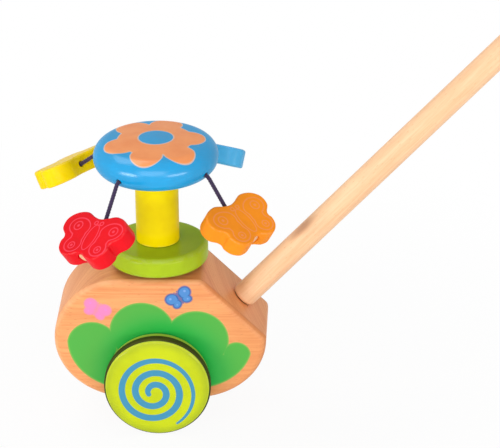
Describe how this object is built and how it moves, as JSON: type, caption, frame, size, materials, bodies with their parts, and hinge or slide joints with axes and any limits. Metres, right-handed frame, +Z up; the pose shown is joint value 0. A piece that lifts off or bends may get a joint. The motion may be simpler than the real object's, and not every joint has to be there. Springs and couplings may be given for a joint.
{
  "type": "toddler push toy",
  "caption": "Wooden push toy on a long rod: a rounded block rolls on a pair of wheels that turn a small carousel of painted butterflies hanging on cords.",
  "frame": {"origin": "on the carousel's vertical axis, at the flat underside of the block, in the middle of its width", "axes": "+Z up; -X the way the toy travels, with the push rod rising towards +X; -Y the printed side with the nearer wheel"},
  "size_m": [0.499, 0.1526, 0.465],
  "materials": {
    "beech": "clear satin lacquer",
    "dowel": "clear satin lacquer",
    "cover": "bare birch plywood",
    "lime_paint": "gloss paint on wood",
    "yellow_paint": "gloss paint on wood",
    "blue_paint": "gloss paint on wood",
    "butterfly_red_paint": "gloss paint on wood",
    "butterfly_orange_paint": "gloss paint on wood",
    "butterfly_blue_paint": "gloss paint on wood",
    "butterfly_yellow_paint": "gloss paint on wood",
    "tyre_rubber": "matt rubber",
    "nylon": "moulded nylon",
    "steel": "zinc plated",
    "brass": "plain brass",
    "cord": "twisted cotton cord"
  },
  "bodies": {
    "body": {"body_block": "beech", "base_cover": "cover", "cover_screw_1": "steel", "cover_screw_2": "steel", "cover_screw_3": "steel", "cover_screw_4": "steel", "push_rod": "dowel", "rod_insert": "brass", "rod_stud": "steel", "rod_knob": "lime_paint", "spindle_bush_top": "nylon", "spindle_bush_bottom": "nylon"},
    "axle_group": {"axle": "dowel", "wheel_front": "lime_paint", "wheel_back": "lime_paint", "tyre_front": "tyre_rubber", "tyre_back": "tyre_rubber", "wheel_washer_front": "nylon", "wheel_washer_back": "nylon", "friction_roller": "beech", "friction_ring": "tyre_rubber"},
    "carousel": {"spindle": "dowel", "drive_disc": "beech", "drive_disc_screw": "steel", "turntable": "lime_paint", "post": "yellow_paint", "top_disc": "blue_paint", "cord_root_red": "cord", "cord_root_orange": "cord", "cord_root_blue": "cord", "cord_root_yellow": "cord"},
    "red_cord": {"cord_red": "cord"},
    "orange_cord": {"cord_orange": "cord"},
    "blue_cord": {"cord_blue": "cord"},
    "yellow_cord": {"cord_yellow": "cord"},
    "red_butterfly": {"butterfly_red": "butterfly_red_paint", "cord_knot_red": "cord", "plug_red": "dowel"},
    "orange_butterfly": {"butterfly_orange": "butterfly_orange_paint", "cord_knot_orange": "cord", "plug_orange": "dowel"},
    "blue_butterfly": {"butterfly_blue": "butterfly_blue_paint", "cord_knot_blue": "cord", "plug_blue": "dowel"},
    "yellow_butterfly": {"butterfly_yellow": "butterfly_yellow_paint", "cord_knot_yellow": "cord", "plug_yellow": "dowel"}
  },
  "joints": [
    {"name": "axle_spin", "type": "hinge", "parent": "body", "child": "axle_group", "pos_m": [0, 0, 0.015], "axis": [0, 1, 0], "continuous": true},
    {"name": "carousel_spin", "type": "hinge", "parent": "body", "child": "carousel", "pos_m": [0, 0, 0], "axis": [0, 0, 1], "continuous": true},
    {"name": "red_cord_swing", "type": "hinge", "parent": "carousel", "child": "red_cord", "pos_m": [-0.02026, -0.03121, 0.14317], "axis": [-0.86, 0.5073, -0.055], "range_deg": [-37, 37]},
    {"name": "orange_cord_swing", "type": "hinge", "parent": "carousel", "child": "orange_cord", "pos_m": [0.03121, -0.02026, 0.14317], "axis": [-0.437, -0.8565, -0.2747], "range_deg": [-19, 55]},
    {"name": "blue_cord_swing", "type": "hinge", "parent": "carousel", "child": "blue_cord", "pos_m": [0.02026, 0.03121, 0.14317], "axis": [0.9275, -0.3276, -0.18], "range_deg": [-51, 23]},
    {"name": "yellow_cord_swing", "type": "hinge", "parent": "carousel", "child": "yellow_cord", "pos_m": [-0.03121, 0.02026, 0.14317], "axis": [0.5674, 0.8232, 0.0215], "range_deg": [-51, 23]},
    {"name": "red_butterfly_tilt", "type": "hinge", "parent": "red_cord", "child": "red_butterfly", "pos_m": [-0.02697, -0.04465, 0.12407], "axis": [-0.86, 0.5073, -0.055], "range_deg": [-19, 33]},
    {"name": "orange_butterfly_tilt", "type": "hinge", "parent": "orange_cord", "child": "orange_butterfly", "pos_m": [0.04174, -0.01864, 0.12134], "axis": [-0.437, -0.8565, -0.2747], "range_deg": [-39, 13]},
    {"name": "blue_butterfly_tilt", "type": "hinge", "parent": "blue_cord", "child": "blue_butterfly", "pos_m": [0.02428, 0.05043, 0.12887], "axis": [0.9275, -0.3276, -0.18], "range_deg": [-10, 42]},
    {"name": "yellow_butterfly_tilt", "type": "hinge", "parent": "yellow_cord", "child": "yellow_butterfly", "pos_m": [-0.04679, 0.0314, 0.12822], "axis": [0.5674, 0.8232, 0.0215], "range_deg": [-9, 43]}
  ],
  "couplings": [
    {"joint": "carousel_spin", "follows": "axle_spin", "ratio": 1.25}
  ]
}
